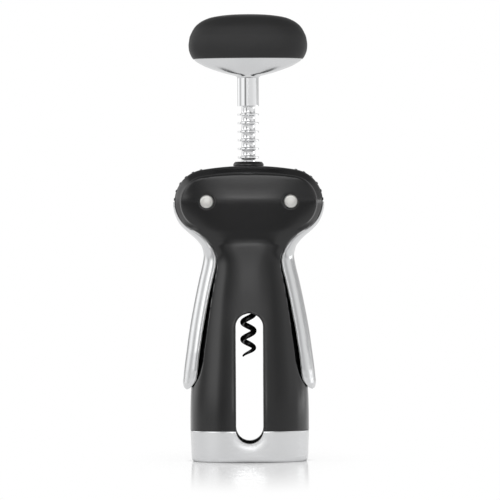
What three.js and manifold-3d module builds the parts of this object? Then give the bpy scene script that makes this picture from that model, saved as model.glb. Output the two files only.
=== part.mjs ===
// Winged corkscrew with a rack, two geared levers and a foil cutter that forms its base.
// Millimetres, +Z up. The origin is the centre of the base's underside, the front faces -Y.

import * as THREE from "three";
import { mergeVertices } from "three/addons/utils/BufferGeometryUtils.js";
import Module from "manifold-3d";

const wasm = await Module();
wasm.setup();

// Clearances and shared overruns
const fixedGap = 0.3;
const runningGap = 0.3;
const leverGap = 0.45;
const bushGap = 0.15;
const overrun = 1.5;

// Base and body
const baseHalfWidth = 26.95;
const baseHalfDepth = 22.5;
const baseHeight = 14.1;
const baseTaper = 0.6;
const baseCorner = 2.0;
const baseSquareness = 2.6;
const baseWall = 1.6;
const baseFloor = 1.2;
const bodyHeight = 119.6;
const headTop = baseHeight + bodyHeight;
const headHeight = 43.65;
const headHalfDepth = 16.335;
const housingWall = 2.4;

// Window through the body
const windowWidth = 12.5;
const windowBottom = 8.2;
const windowTop = 67.0;
const windowFrame = 2.2;

// Pivots, gears and rack
const pivotX = 18.93;
const pivotDrop = 16.2;
const pivotZ = headTop - pivotDrop;
const headRadius = 14.55;
const rackPitch = 3.89;
const gearTeethPerTurn = 24;
const gearPitchRadius = (rackPitch * gearTeethPerTurn) / (2 * Math.PI);
const gearTipRadius = 15.05;
const gearRootRadius = 12.7;
const gearHalfWidth = 3.6;
const gearFlat = 7.0;
const toothTipHalf = 0.55;
const toothRootHalf = 1.1;
const firstTooth = -1;
const lastTooth = 12;

// Lever
const leverTipRise = 18.4;
const leverTip = baseHeight + leverTipRise;
const leverDrop = pivotZ - leverTip;
const crookDrop = 27.37;
const crookShare = 0.322;
const hubRadius = 12.0;
const hubHalfWidth = 5.65;
const slotHalfWidth = 6.4;
const leverHalfWidth = 9.5;
const chamberRadius = 16.6;
const leverEdge = 0.35;
const webRise = 0.7;
const rivetRadius = 1.1;
const rivetSpread = 7.6;

// Pivot pins
const pinRadius = 2.4;
const pinHeadRadius = 3.08;
const pinHeadThickness = 1.6;
const pinDome = 0.35;
const pinCrownShare = 0.8;
const recessRadius = 3.83;
const recessDepth = 2.0;
const recessLip = 0.435;
const pivotFace = headHalfDepth - recessLip;
const washerRadius = 5.2;
const washerThickness = 0.5;

// Stem, rack rod and worm
const stemRadius = 4.85;
const stemRise = 27.2;
const stemLength = 12.9;
const stemBottom = headTop + stemRise;
const stemTop = stemBottom + stemLength;
const ringRadius = 4.82;
const ringRootRadius = 3.1;
const ringThickness = 1.2;
const ringFlatShare = 0.6;
const ringStart = 3.8;
const topRing = stemBottom - ringStart;
const ringCount = 13;
const rodTail = 7.42;
const rodBottom = topRing - rackPitch * (ringCount - 1) - rodTail;
const rodSpigotRadius = 3.4;
const rodSpigotHeight = 5.2;
const wormWire = 1.25;
const wormOuterRadius = 3.75;
const wormPitch = 7.8;
const wormLength = 55.7;
const wormTip = rodBottom - wormLength;
const wormShank = 10.0;
const wormShankGap = 0.7;
const wormStartTurn = 0.75;
const wormTaperTurns = 0.8;
const wormPointShare = 0.12;
const wormPhase = Math.PI * 0.93;
const wormPinRadius = 0.45;
const wormPinDrop = 3.2;

// Bottle guide
const bottleBore = 15.75;
const corkBore = 11.6;
const guideWall = 1.55;
const guideBottom = 22.0;
const lipSeat = 44.0;
const seatThickness = 2.0;
const guideCone = 4.2;
const guideRise = 12.0;
const guideTop = windowTop + guideRise;
const rodChannel = 5.5;
const upperChamber = 9.0;
const upperChamberRise = 13.0;
const upperChamberTop = guideTop + upperChamberRise;

// Collar and stem bush
const collarRadius = 7.0;
const collarTopRadius = 6.4;
const collarRise = 2.0;
const collarTop = headTop + collarRise;
const collarDepth = 4.7;
const collarBottom = headTop - collarDepth;
const collarSpigot = 6.5;
const bushWall = 0.65;
const collarLip = 0.8;

// Knob
const knobHalfWidth = 26.8;
const knobHalfDepth = 14.6;
const flareHeight = 8.6;
const gripHeight = 20.3;
const knobSeam = stemTop + flareHeight;
const knobTop = knobSeam + gripHeight;
const knobSquareness = 3.0;
const gripFullness = 0.9;
const flareFullness = 0.6;
const flareSpread = 0.35;
const gripWall = 3.0;
const coreFloor = 1.2;
const screwRadius = 1.6;
const screwHeadRadius = 3.2;
const screwHeadHeight = 2.2;
const screwLength = 14.0;
const flareSocketDepth = 4.6;

// Foil cutter
const spigotHeight = 6.9;
const spigotWall = 1.55;
const wheelRadius = 3.2;
const wheelHubShare = 0.62;
const wheelReach = 14.9;
const wheelDepthShare = 0.5688;
const wheelHalfThickness = 0.7;
const wheelHeight = 6.0;
const axleRadius = 0.7;
const axleHalfLength = 3.4;

// Facets
const roundSegments = 28;
const smallSegments = 14;
const tinySegments = 7;
const rodSegments = 14;
const sectionSegments = 32;
const arcSteps = 6;
const windowSteps = 12;
const shoulderSteps = 16;
const innerSteps = 20;
const tipSteps = 10;
const outerSteps = 26;
const wormSides = 6;
const wormSteps = 12;

const finishes = {
  blackShell: { color: 0x303032, roughness: 0.42, metalness: 0 },
  softGrip: { color: 0x2b2b2d, roughness: 0.6, metalness: 0 },
  satinZinc: { color: 0xc8cacd, roughness: 0.35, metalness: 1 },
  chrome: { color: 0xe2e4e8, roughness: 0.08, metalness: 1 },
  brightSteel: { color: 0xcfcfcb, roughness: 0.22, metalness: 1 },
  darkSteel: { color: 0x2a2a2c, roughness: 0.4, metalness: 0.8 },
  wormCoat: { color: 0x121214, roughness: 0.3, metalness: 0.2 },
  whiteNylon: { color: 0xdedbd2, roughness: 0.5, metalness: 0 },
};

const corkscrew = new THREE.Group();

// Solids and placing

function signedVolume(geometry) {
  const place = geometry.getAttribute("position");
  const corner = geometry.getIndex();
  const count = corner ? corner.count : place.count;
  const at = (i) => new THREE.Vector3().fromBufferAttribute(place, corner ? corner.getX(i) : i);
  let sum = 0;
  for (let i = 0; i < count; i += 3) {
    sum += at(i).dot(at(i + 1).cross(at(i + 2)));
  }
  return sum;
}

function mergedPositions(geometry) {
  const plain = geometry.clone();
  plain.deleteAttribute("normal");
  plain.deleteAttribute("uv");
  const merged = mergeVertices(plain);
  if (signedVolume(merged) < 0) {
    const corner = merged.getIndex().array;
    for (let i = 0; i < corner.length; i += 3) {
      [corner[i + 1], corner[i + 2]] = [corner[i + 2], corner[i + 1]];
    }
  }
  return merged;
}

function solidOf(geometry) {
  const merged = mergedPositions(geometry);
  const vertProperties = new Float32Array(merged.getAttribute("position").array);
  const triVerts = new Uint32Array(merged.getIndex().array);
  return new wasm.Manifold(new wasm.Mesh({ numProp: 3, vertProperties, triVerts }));
}

function geometryOf(solid) {
  const mesh = solid.getMesh();
  const geometry = new THREE.BufferGeometry();
  geometry.setAttribute("position", new THREE.BufferAttribute(new Float32Array(mesh.vertProperties), 3));
  geometry.setIndex(new THREE.BufferAttribute(new Uint32Array(mesh.triVerts), 1));
  geometry.computeVertexNormals();
  return geometry;
}

function addPart(name, solid, finish) {
  const mesh = new THREE.Mesh(geometryOf(solid), new THREE.MeshStandardMaterial(finishes[finish]));
  mesh.name = name;
  corkscrew.add(mesh);
}

function joined(solids) {
  return solids.reduce((sum, solid) => sum.add(solid));
}

function less(solid, cutters) {
  return cutters.reduce((left, cutter) => left.subtract(cutter), solid);
}

// A profile of [radius, height] points turned about the Z axis
function turnedShape(profile, segments = roundSegments) {
  const points = profile.map(([radius, height]) => new THREE.Vector2(radius, height));
  return new THREE.LatheGeometry(points, segments).rotateX(Math.PI / 2);
}

function turned(profile, segments = roundSegments) {
  return solidOf(turnedShape(profile, segments));
}

// The same, turned about an axis along Y through x and z; way is 1 where the profile runs to the rear
function turnedAlongY(profile, way, x, z, segments = smallSegments) {
  return solidOf(turnedShape(profile, segments).rotateX(way * -Math.PI / 2).translate(x, 0, z));
}

function rod(radius, bottom, top, segments = roundSegments) {
  return turned([[0, bottom], [radius, bottom], [radius, top], [0, top]], segments);
}

function rodAt(radius, bottom, top, x, y, segments = smallSegments) {
  const profile = [[0, bottom], [radius, bottom], [radius, top], [0, top]];
  return solidOf(turnedShape(profile, segments).translate(x, y, 0));
}

function ringProfile(inner, outer, bottom, top) {
  return [[inner, bottom], [outer, bottom], [outer, top], [inner, top], [inner, bottom]];
}

// A rod along Y, from near to far, centred on x and z
function rodAlongY(radius, near, far, x, z, segments = smallSegments) {
  const geometry = new THREE.CylinderGeometry(radius, radius, far - near, segments);
  geometry.translate(x, (near + far) / 2, z);
  return solidOf(geometry);
}

function box(fromX, toX, fromY, toY, fromZ, toZ) {
  const geometry = new THREE.BoxGeometry(toX - fromX, toY - fromY, toZ - fromZ);
  geometry.translate((fromX + toX) / 2, (fromY + toY) / 2, (fromZ + toZ) / 2);
  return solidOf(geometry);
}

// A front outline of [x, z] points run along Y, centred on the middle plane
function slabAlongY(outline, halfWidth, edge = 0) {
  const shape = new THREE.Shape(outline.map(([x, z]) => new THREE.Vector2(x, z)));
  const geometry = new THREE.ExtrudeGeometry(shape, {
    depth: 2 * (halfWidth - edge),
    bevelEnabled: edge > 0,
    bevelThickness: edge,
    bevelSize: edge,
    bevelOffset: -edge,
    bevelSegments: 1,
  });
  geometry.translate(0, 0, edge - halfWidth);
  geometry.rotateX(Math.PI / 2);
  return solidOf(geometry);
}

// A side outline of [y, z] points run along X, centred on the middle plane
function slabAlongX(outline, halfWidth) {
  const shape = new THREE.Shape(outline.map(([y, z]) => new THREE.Vector2(y, z)));
  const geometry = new THREE.ExtrudeGeometry(shape, { depth: 2 * halfWidth, bevelEnabled: false });
  geometry.translate(0, 0, -halfWidth);
  geometry.applyMatrix4(new THREE.Matrix4().set(0, 0, 1, 0, 1, 0, 0, 0, 0, 1, 0, 0, 0, 0, 0, 1));
  return solidOf(geometry);
}

// Rings of points, equally many in each, joined into a closed skin with a fan at both ends
function skinned(rings) {
  const sides = rings[0].length;
  const places = rings.flat().flatMap((point) => point.toArray());
  const corners = [];
  for (let level = 0; level + 1 < rings.length; level += 1) {
    for (let side = 0; side < sides; side += 1) {
      const here = level * sides + side;
      const beside = level * sides + ((side + 1) % sides);
      corners.push(here, beside, beside + sides, here, beside + sides, here + sides);
    }
  }
  const last = (rings.length - 1) * sides;
  for (let side = 1; side + 1 < sides; side += 1) {
    corners.push(0, side + 1, side, last, last + side, last + side + 1);
  }
  const geometry = new THREE.BufferGeometry();
  geometry.setAttribute("position", new THREE.Float32BufferAttribute(places, 3));
  geometry.setIndex(corners);
  return solidOf(geometry);
}

function superellipseRing(halfWidth, halfDepth, squareness, height) {
  const points = [];
  for (let i = 0; i < sectionSegments; i += 1) {
    const angle = (2 * Math.PI * i) / sectionSegments;
    const across = Math.sign(Math.cos(angle)) * Math.abs(Math.cos(angle)) ** (2 / squareness);
    const along = Math.sign(Math.sin(angle)) * Math.abs(Math.sin(angle)) ** (2 / squareness);
    points.push(new THREE.Vector3(halfWidth * across, halfDepth * along, height));
  }
  return points;
}

// Sections of [half width, half depth, squareness, height]
function lofted(sections) {
  return skinned(sections.map((section) => superellipseRing(...section)));
}

function mirrored(outline) {
  return outline.concat(outline.slice().reverse().map(([x, z]) => [-x, z]));
}

function sided(outline, side) {
  return side > 0 ? outline : outline.map(([x, z]) => [-x, z]);
}

// A curve through [x, z] points, sampled evenly in its own measure
function curveThrough(points, steps) {
  const curve = new THREE.SplineCurve(points.map(([x, z]) => new THREE.Vector2(x, z)));
  return curve.getPoints(steps).map((point) => [point.x, point.y]);
}

// The same curve moved sideways, to its left where the distance is positive
function shifted(points, distance) {
  return points.map(([x, z], i) => {
    const [fromX, fromZ] = points[Math.max(i - 1, 0)];
    const [toX, toZ] = points[Math.min(i + 1, points.length - 1)];
    const length = Math.hypot(toX - fromX, toZ - fromZ);
    return [x - (distance * (toZ - fromZ)) / length, z + (distance * (toX - fromX)) / length];
  });
}

function arc(centreX, centreZ, radius, fromAngle, toAngle, steps) {
  const points = [];
  for (let i = 0; i <= steps; i += 1) {
    const angle = fromAngle + ((toAngle - fromAngle) * i) / steps;
    points.push([centreX + radius * Math.cos(angle), centreZ + radius * Math.sin(angle)]);
  }
  return points;
}

// Right lever's outlines from the head down to the tip: shares of the head's radius outward from the pivot,
// and of the drop. Down to the crook the drop is the crook's, and from there on the whole lever's.
const leverInnerShares = [
  [0.472, 0.151], [0.276, 0.172], [0.114, 0.193], [-0.009, 0.215], [-0.099, 0.236], [-0.174, 0.258],
  [-0.229, 0.279], [-0.265, 0.3], [-0.272, 0.322], [-0.229, 0.365], [-0.167, 0.407], [-0.081, 0.472],
  [-0.003, 0.535], [0.066, 0.6], [0.135, 0.664], [0.194, 0.728], [0.252, 0.793], [0.294, 0.856],
  [0.334, 0.92],
];
const leverTipShares = [
  [0.334, 0.92], [0.377, 0.95], [0.458, 0.974], [0.559, 0.992], [0.657, 1], [0.742, 0.992],
  [0.774, 0.968],
];
const leverOuterShares = [
  [1.056, 0], [1.058, 0.022], [1.041, 0.044], [1.008, 0.065], [0.96, 0.086], [0.895, 0.108],
  [0.801, 0.129], [0.671, 0.151], [0.524, 0.172], [0.383, 0.193], [0.265, 0.215], [0.177, 0.236],
  [0.139, 0.258], [0.114, 0.279], [0.114, 0.3], [0.135, 0.322], [0.19, 0.365], [0.252, 0.407],
  [0.334, 0.472], [0.41, 0.535], [0.506, 0.621], [0.589, 0.707], [0.658, 0.793], [0.726, 0.878],
  [0.764, 0.942], [0.774, 0.968],
];

function dropAt(share) {
  if (share < crookShare) {
    return (crookDrop * share) / crookShare;
  }
  return crookDrop + ((leverDrop - crookDrop) * (share - crookShare)) / (1 - crookShare);
}

function leverPoints(shares) {
  return shares.map(([across, down]) => [pivotX + headRadius * across, pivotZ - dropAt(down)]);
}

const [lipX, lipZ] = leverPoints(leverInnerShares)[0];
const lipAngle = Math.atan2(lipZ - pivotZ, lipX - pivotX);
const lipRadius = Math.hypot(lipZ - pivotZ, lipX - pivotX);

// Front outline of the body, right half from the base up to the middle of the head's top
function bodyOutline() {
  const innerSide = curveThrough(leverPoints(leverInnerShares), innerSteps).reverse();
  const tipSide = curveThrough(leverPoints(leverTipShares), tipSteps).reverse().slice(tipSteps / 2);
  const recess = shifted(tipSide.concat(innerSide.slice(1)), leverGap);
  const outside = baseHalfWidth + overrun;
  const floor = recess[0][1];
  const rise = headTop - pivotZ;
  const archRadius = (pivotX ** 2 + rise ** 2 - headRadius ** 2) / (2 * (rise - headRadius));
  const tangent = Math.atan2(archRadius - rise, pivotX);
  const shoulder = arc(pivotX, pivotZ, headRadius, lipAngle, tangent, shoulderSteps);
  const arch = arc(0, headTop - archRadius, archRadius, tangent, Math.PI / 2, arcSteps);
  const start = [[outside, baseHeight - overrun], [outside, floor]];
  return start.concat(recess.filter(([x]) => x < outside), shoulder.slice(1), arch.slice(1, -1));
}

// Trunk sections: shares of the base's half width and half depth, squareness, share of the trunk's height
const trunkSectionShares = [
  [1, 1, 2.6, 0], [0.993, 0.987, 2.6, 0.131], [0.98, 0.96, 2.6, 0.249], [0.939, 0.91, 2.6, 0.406],
  [0.883, 0.843, 2.6, 0.605], [0.794, 0.771, 2.7, 0.802], [0.69, 0.7, 2.8, 1],
];
// Head sections: shares of the head's half width and half depth, squareness, share of the head's height
const headSectionShares = [
  [0.627, 0.939, 3.2, 0.159], [0.761, 0.939, 3.8, 0.252], [0.896, 0.95, 4.5, 0.342], [0.985, 0.977, 5, 0.457],
  [1.046, 1, 5.5, 0.63], [1.046, 0.988, 5.5, 0.8], [1.001, 0.927, 5.5, 0.915], [0.896, 0.679, 5, 1],
];

function bodySections() {
  const trunkHeight = bodyHeight - headHeight;
  const headHalfWidth = pivotX + headRadius;
  const trunk = trunkSectionShares.map(([width, depth, squareness, height]) => [
    baseHalfWidth * width, baseHalfDepth * depth, squareness, baseHeight + trunkHeight * height,
  ]);
  const head = headSectionShares.map(([width, depth, squareness, height]) => [
    headHalfWidth * width, headHalfDepth * depth, squareness, headTop - headHeight * (1 - height),
  ]);
  return trunk.concat(head);
}

function windowPrism() {
  const half = windowWidth / 2;
  const lower = arc(0, windowBottom + half, half, Math.PI, 2 * Math.PI, windowSteps);
  const upper = arc(0, windowTop - half, half, 0, Math.PI, windowSteps);
  return slabAlongY(lower.concat(upper), baseHalfDepth + overrun);
}

const windowCut = windowPrism();

// Profile of the bottle guide's outside, grown by a gap
function guideOutside(gap) {
  const coneBottom = lipSeat + seatThickness;
  return [
    [bottleBore + guideWall + gap, coneBottom],
    [corkBore + guideWall + gap, coneBottom + guideCone],
    [corkBore + guideWall + gap, guideTop + gap],
  ];
}

// Space inside the two housings for the guide, the rod and the collar
function housingBore() {
  const wide = bottleBore + guideWall + fixedGap;
  return turned([
    [0, baseHeight - overrun], [wide, baseHeight - overrun], ...guideOutside(fixedGap),
    [upperChamber, guideTop + fixedGap], [upperChamber, upperChamberTop], [rodChannel, upperChamberTop],
    [rodChannel, collarBottom - bushGap], [collarSpigot + fixedGap, collarBottom - bushGap],
    [collarSpigot + fixedGap, headTop + overrun], [0, headTop + overrun],
  ]);
}

// Lightening pockets between the guide and the outer wall, clear of the window's frame
function wallPockets() {
  const frame = windowWidth / 2 + windowFrame;
  const innerPoints = leverPoints(leverInnerShares);
  const widthAt = (height) => innerPoints.reduce(
    (best, point) => (Math.abs(point[1] - height) < Math.abs(best[1] - height) ? point : best))[0];
  const depthAt = (height) => {
    const sections = bodySections();
    const above = sections.findIndex((section) => section[3] > height);
    const low = sections[above - 1];
    const high = sections[above];
    return low[1] + ((high[1] - low[1]) * (height - low[3])) / (high[3] - low[3]);
  };
  const pocket = (bottom, top, halfWidthAt) => {
    const levels = [bottom, (bottom + top) / 2, top];
    return lofted(levels.map((height) => [
      halfWidthAt(height) - leverGap - housingWall, depthAt(height) - housingWall, baseSquareness, height,
    ]));
  };
  const lowBottom = guideBottom + housingWall;
  const lowTop = leverTip - housingWall;
  const low = pocket(lowBottom, lowTop, () => baseHalfWidth - baseTaper);
  const high = pocket(lipSeat + seatThickness + guideCone, guideTop - housingWall, widthAt);
  const depth = baseHalfDepth + overrun;
  return less(low.add(high), [box(-frame, frame, -depth, depth, baseHeight, windowTop + windowFrame)]);
}

// Slot between the shells for the hubs and gears, with room for the levers' rims to swing
function leverChamber() {
  const chambers = [-1, 1].map((side) => rodAlongY(
    chamberRadius, -slotHalfWidth, slotHalfWidth, side * pivotX, pivotZ, sectionSegments));
  return joined(chambers);
}

function pinHoles() {
  const depth = baseHalfDepth;
  return [-1, 1].flatMap((side) => [
    rodAlongY(pinRadius + fixedGap, -depth, depth, side * pivotX, pivotZ),
    rodAlongY(recessRadius, -depth, recessDepth - pivotFace, side * pivotX, pivotZ),
    rodAlongY(recessRadius, pivotFace - recessDepth, depth, side * pivotX, pivotZ),
  ]);
}

function makeHousings() {
  const front = slabAlongY(mirrored(bodyOutline()), baseHalfDepth + overrun);
  const outer = lofted(bodySections()).intersect(front);
  const hollow = less(outer, [housingBore(), wallPockets(), leverChamber(), windowCut, ...pinHoles()]);
  const wide = chamberRadius + pivotX + overrun;
  const deep = baseHalfDepth + overrun;
  const half = (fromY, toY) => box(-wide, wide, fromY, toY, baseHeight - overrun, headTop + overrun);
  addPart("front_housing", hollow.intersect(half(-deep, 0)), "blackShell");
  addPart("rear_housing", hollow.intersect(half(0, deep)), "blackShell");
}

function makeBottleGuide() {
  const guide = turned([
    [bottleBore, guideBottom], [bottleBore + guideWall, guideBottom], ...guideOutside(0),
    [corkBore, guideTop], [corkBore, lipSeat], [bottleBore, lipSeat], [bottleBore, guideBottom],
  ]);
  addPart("bottle_guide", guide.subtract(windowCut), "blackShell");
}

function makeCollar() {
  const shoulder = headTop + fixedGap / 2;
  const bushBore = stemRadius + runningGap;
  const bore = bushBore + bushWall + bushGap;
  const collar = turned([
    [bore, collarBottom], [collarSpigot, collarBottom], [collarSpigot, shoulder], [collarRadius, shoulder],
    [collarRadius, collarTop - collarLip], [collarTopRadius, collarTop], [bushBore, collarTop],
    [bushBore, collarTop - collarLip], [bore, collarTop - collarLip], [bore, collarBottom],
  ]);
  addPart("top_collar", collar, "blackShell");
  const bushTop = collarTop - collarLip - bushGap;
  const bush = turned(ringProfile(bushBore, bushBore + bushWall, collarBottom, bushTop));
  addPart("stem_bush", bush, "whiteNylon");
}

// Levers and gears

// Outline about the pivot, x outward. Angles start at the side that faces the rack and run over the top.
function gearOutline() {
  const toothAngle = (2 * Math.PI) / gearTeethPerTurn;
  const ringsAbove = Math.ceil((topRing - pivotZ) / rackPitch);
  const gapBetweenRings = topRing - rackPitch * (ringsAbove - 0.5);
  const phase = (gapBetweenRings - pivotZ) / gearPitchRadius;
  const at = (radius, angle) => [-radius * Math.cos(angle), radius * Math.sin(angle)];
  const flatAngle = Math.asin(gearFlat / gearRootRadius);
  const rootHalf = toothRootHalf / gearRootRadius;
  const tipHalf = toothTipHalf / gearTipRadius;
  const points = [at(gearRootRadius, -flatAngle)];
  for (let tooth = firstTooth; tooth <= lastTooth; tooth += 1) {
    const middle = phase + tooth * toothAngle;
    points.push(at(gearRootRadius, middle - rootHalf), at(gearTipRadius, middle - tipHalf));
    points.push(at(gearTipRadius, middle + tipHalf), at(gearRootRadius, middle + rootHalf));
  }
  points.push(at(gearRootRadius, Math.PI + flatAngle));
  return points;
}

function makeGear(name, side) {
  const outline = gearOutline().map(([x, z]) => [side * (pivotX + x), pivotZ + z]);
  const gear = slabAlongY(outline, gearHalfWidth);
  const bores = [rodAlongY(pinRadius + runningGap, -hubHalfWidth, hubHalfWidth, side * pivotX, pivotZ)];
  addPart(name, less(gear, bores.concat(rivetBores(side))), "darkSteel");
}

function rivetPlaces(side) {
  return [-1, 1].map((way) => [side * pivotX + way * rivetSpread, pivotZ + rivetRadius]);
}

function rivetBores(side) {
  return rivetPlaces(side).map(([x, z]) => rodAlongY(
    rivetRadius + fixedGap, -hubHalfWidth - overrun, hubHalfWidth + overrun, x, z, tinySegments));
}

// Shares of the arm's half width and of the drop, from below the hub to the tip
const armWidthShares = [[0.82, 0.25], [0.9, 0.5], [1, 0.8], [0.97, 0.92], [0.84, 0.98], [0.6, 1]];
const armShoulderShare = 0.16;

// Side outline that gives the arm its width: narrow in the slot, wide at the thumb rest
function armWidthOutline() {
  const narrow = [[hubHalfWidth, pivotZ + headRadius], [hubHalfWidth, pivotZ - dropAt(armShoulderShare)]];
  const wide = armWidthShares.map(([width, down]) => [leverHalfWidth * width, pivotZ - dropAt(down)]);
  const rows = narrow.concat(wide);
  return rows.concat(rows.slice().reverse().map(([y, z]) => [-y, z]));
}

function makeLever(name, side) {
  const lip = arc(pivotX, pivotZ, lipRadius, 0, lipAngle, arcSteps).slice(0, -1);
  const inner = curveThrough(leverPoints(leverInnerShares), innerSteps);
  const tip = curveThrough(leverPoints(leverTipShares), tipSteps);
  const outer = curveThrough(leverPoints(leverOuterShares), outerSteps).reverse();
  const armOutline = lip.concat(inner, tip.slice(1), outer.slice(1));
  const arm = slabAlongY(sided(armOutline, side), leverHalfWidth, leverEdge);
  const width = slabAlongX(armWidthOutline(), pivotX + chamberRadius + headRadius);
  const web = [[pivotX, pivotZ]].concat(arc(pivotX, pivotZ, lipRadius + webRise, 0, lipAngle, arcSteps));
  const hub = rodAlongY(hubRadius, -hubHalfWidth, hubHalfWidth, side * pivotX, pivotZ, roundSegments)
    .add(slabAlongY(sided(web, side), hubHalfWidth));
  const pocket = box(-chamberRadius - pivotX, chamberRadius + pivotX, -gearHalfWidth, gearHalfWidth,
    pivotZ - gearFlat - fixedGap, pivotZ + chamberRadius);
  const bore = rodAlongY(pinRadius + runningGap, -hubHalfWidth - overrun, hubHalfWidth + overrun,
    side * pivotX, pivotZ);
  const lever = less(arm.intersect(width).add(hub), [pocket, bore, ...rivetBores(side)]);
  addPart(name, lever, "satinZinc");
}

function makePivot(label, side) {
  const x = side * pivotX;
  const seat = pivotFace - recessDepth;
  const face = seat + pinHeadThickness;
  const domed = [[0, seat], [pinHeadRadius, seat], [pinHeadRadius, face - pinDome],
    [pinHeadRadius * pinCrownShare, face - pinDome / 3], [0, face]];
  const frontHead = turnedAlongY(domed, -1, x, pivotZ);
  const shaft = rodAlongY(pinRadius, -seat - pinDome, seat - fixedGap, x, pivotZ);
  addPart(`${label}_pivot_pin`, frontHead.add(shaft), "brightSteel");
  addPart(`${label}_pin_cap`, turnedAlongY(domed, 1, x, pivotZ), "brightSteel");
  const washerSeat = slotHalfWidth - washerThickness;
  const washer = ringProfile(pinRadius + fixedGap, washerRadius, washerSeat, slotHalfWidth);
  addPart(`${label}_front_washer`, turnedAlongY(washer, -1, x, pivotZ), "whiteNylon");
  addPart(`${label}_rear_washer`, turnedAlongY(washer, 1, x, pivotZ), "whiteNylon");
  rivetPlaces(side).forEach(([rivetX, z], i) => {
    const rivet = rodAlongY(rivetRadius, -hubHalfWidth, hubHalfWidth, rivetX, z, tinySegments);
    addPart(`${label}_gear_rivet_${i + 1}`, rivet, "brightSteel");
  });
}

// Rod, worm and knob

function makeRackRod() {
  const socket = wormWire + fixedGap;
  const profile = [[0, rodBottom + wormShank], [socket, rodBottom + wormShank], [socket, rodBottom],
    [rodSpigotRadius, rodBottom], [rodSpigotRadius, rodBottom + rodSpigotHeight],
    [ringRootRadius, rodBottom + rodSpigotHeight]];
  for (let i = ringCount - 1; i >= 0; i -= 1) {
    const middle = topRing - rackPitch * i;
    const half = ringThickness / 2;
    const flat = half * ringFlatShare;
    profile.push([ringRootRadius, middle - half], [ringRadius, middle - flat],
      [ringRadius, middle + flat], [ringRootRadius, middle + half]);
  }
  const rodTop = stemTop + flareSocketDepth;
  profile.push([ringRootRadius, stemBottom], [stemRadius, stemBottom], [stemRadius, stemTop - fixedGap],
    [ringRootRadius, stemTop - fixedGap], [ringRootRadius, rodTop], [screwRadius + fixedGap, rodTop],
    [screwRadius + fixedGap, rodTop - screwLength], [0, rodTop - screwLength]);
  const pinHole = rodAlongY(wormPinRadius + fixedGap, -stemRadius, stemRadius, 0, rodBottom + wormPinDrop,
    tinySegments);
  addPart("rack_rod", less(turned(profile, rodSegments), [pinHole]), "chrome");
  const pin = rodAlongY(wormPinRadius, -rodSpigotRadius + fixedGap, rodSpigotRadius - fixedGap, 0,
    rodBottom + wormPinDrop, tinySegments);
  addPart("worm_pin", pin, "brightSteel");
}

// Centre line and radius of the worm's wire, from the shank in the rod down to the point
function wormStations() {
  const radius = wormOuterRadius - wormWire;
  const helixTop = rodBottom - wormWire;
  const turns = (helixTop - wormTip) / wormPitch;
  const steps = Math.round(turns * wormSteps);
  const stations = [];
  for (let i = 0; i <= 2; i += 1) {
    const height = rodBottom + (wormShank - wormShankGap) * (1 - i / 2);
    stations.push({ point: new THREE.Vector3(0, 0, height), wire: wormWire });
  }
  for (let i = 1; i <= steps; i += 1) {
    const done = (i / steps) * turns;
    const left = turns - done;
    const angle = wormPhase + 2 * Math.PI * left;
    const spread = radius * THREE.MathUtils.smoothstep(done, 0, wormStartTurn);
    const wire = wormWire * Math.min(1, wormPointShare + ((1 - wormPointShare) * left) / wormTaperTurns);
    const height = helixTop - done * wormPitch;
    const point = new THREE.Vector3(spread * Math.cos(angle), spread * Math.sin(angle), height);
    stations.push({ point, wire });
  }
  return stations;
}

function makeWorm() {
  const stations = wormStations();
  const up = new THREE.Vector3(1, 0, 0);
  const rings = stations.map(({ point, wire }, i) => {
    const before = stations[Math.max(i - 1, 0)].point;
    const after = stations[Math.min(i + 1, stations.length - 1)].point;
    const along = after.clone().sub(before).normalize();
    up.addScaledVector(along, -up.dot(along)).normalize();
    const aside = along.clone().cross(up);
    return Array.from({ length: wormSides }, (_, side) => {
      const turn = (2 * Math.PI * side) / wormSides;
      const out = point.clone().addScaledVector(up, wire * Math.cos(turn));
      return out.addScaledVector(aside, wire * Math.sin(turn));
    });
  });
  const hole = rodAlongY(wormPinRadius + fixedGap, -stemRadius, stemRadius, 0, rodBottom + wormPinDrop,
    tinySegments);
  addPart("worm", skinned(rings).subtract(hole), "wormCoat");
}

// Shares of the knob's half width and of its grip height, from the seam to the top
const gripShares = [
  [0.925, 0], [0.965, 0.09], [0.987, 0.162], [0.997, 0.23], [1, 0.3], [0.997, 0.365], [0.978, 0.505],
  [0.956, 0.57], [0.93, 0.64], [0.896, 0.712], [0.847, 0.778], [0.772, 0.848], [0.646, 0.92],
  [0.347, 0.985], [0.2, 1],
];
// Shares of the flare's half width and of its height, from the stem to the seam
const flareShares = [
  [0.196, 0], [0.222, 0.09], [0.3, 0.15], [0.49, 0.3], [0.646, 0.445], [0.783, 0.59], [0.888, 0.745],
  [0.964, 0.88], [1, 1],
];

function knobSections(shares, halfWidth, halfDepth, bottom, height, roundEnd) {
  return shares.map(([width, up]) => {
    const spread = roundEnd ? THREE.MathUtils.smoothstep(width, shares[0][0], 1) : 1;
    const squareness = 2 + (knobSquareness - 2) * spread;
    const half = halfWidth * width;
    const full = halfDepth * width ** (roundEnd ? flareFullness : gripFullness);
    const depth = roundEnd ? THREE.MathUtils.lerp(half, full, spread ** flareSpread) : full;
    return [half, Math.min(half, depth), squareness, bottom + height * up];
  });
}

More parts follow.
